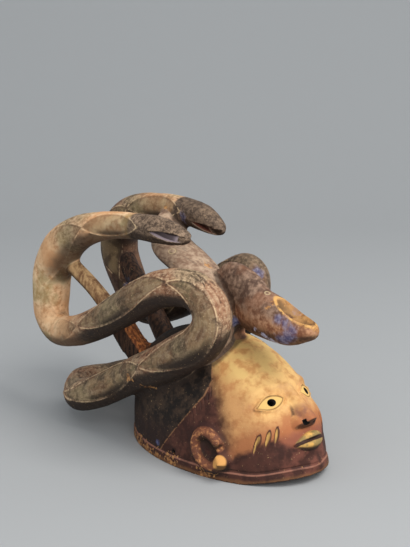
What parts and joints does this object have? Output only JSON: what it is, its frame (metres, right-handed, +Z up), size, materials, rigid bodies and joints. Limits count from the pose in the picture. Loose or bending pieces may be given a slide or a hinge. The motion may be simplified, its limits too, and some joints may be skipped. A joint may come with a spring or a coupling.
{
  "type": "helmet mask",
  "caption": "Carved and painted wooden helmet mask: a hollow head with a cap, two looping snakes above it, struts between them and an open-mouthed animal head on the forehead",
  "frame": {"origin": "on the floor under the middle of the whole carving", "axes": "+Z up, the face looks towards -Y, +X to the wearer's left"},
  "size_m": [0.2178, 0.4656, 0.3057],
  "materials": {
    "painted_wood": "worn paint on carved wood, matt with a dull sheen where handled"
  },
  "bodies": {
    "root": {"helmet_mask": "painted_wood"}
  },
  "joints": []
}
